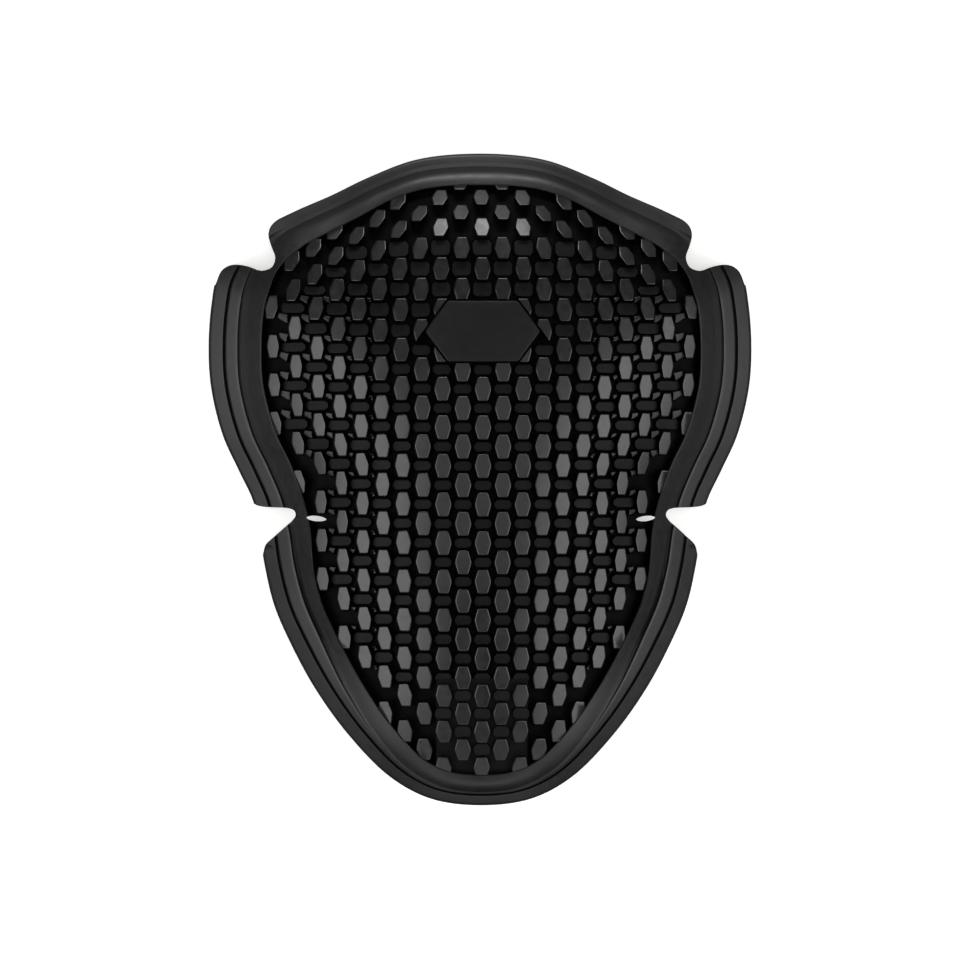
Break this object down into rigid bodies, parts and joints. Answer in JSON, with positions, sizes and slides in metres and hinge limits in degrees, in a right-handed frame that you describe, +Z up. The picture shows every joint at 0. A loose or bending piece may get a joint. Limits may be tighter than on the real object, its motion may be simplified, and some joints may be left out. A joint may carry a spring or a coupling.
{
  "type": "shoulder protector insert",
  "caption": "Hollow moulded rubber dome with a notched flange and a field of raised six-sided cells, worn in the shoulder pocket of a riding jacket.",
  "frame": {"origin": "on the ground under the middle of the part's box", "axes": "+Z up and out of the shoulder, +Y towards the neck end, +X across to the right wing"},
  "size_m": [0.171, 0.205, 0.0464],
  "materials": {
    "black_rubber": "satin black moulded rubber foam"
  },
  "bodies": {
    "root": {"protector_body": "black_rubber"}
  },
  "joints": []
}
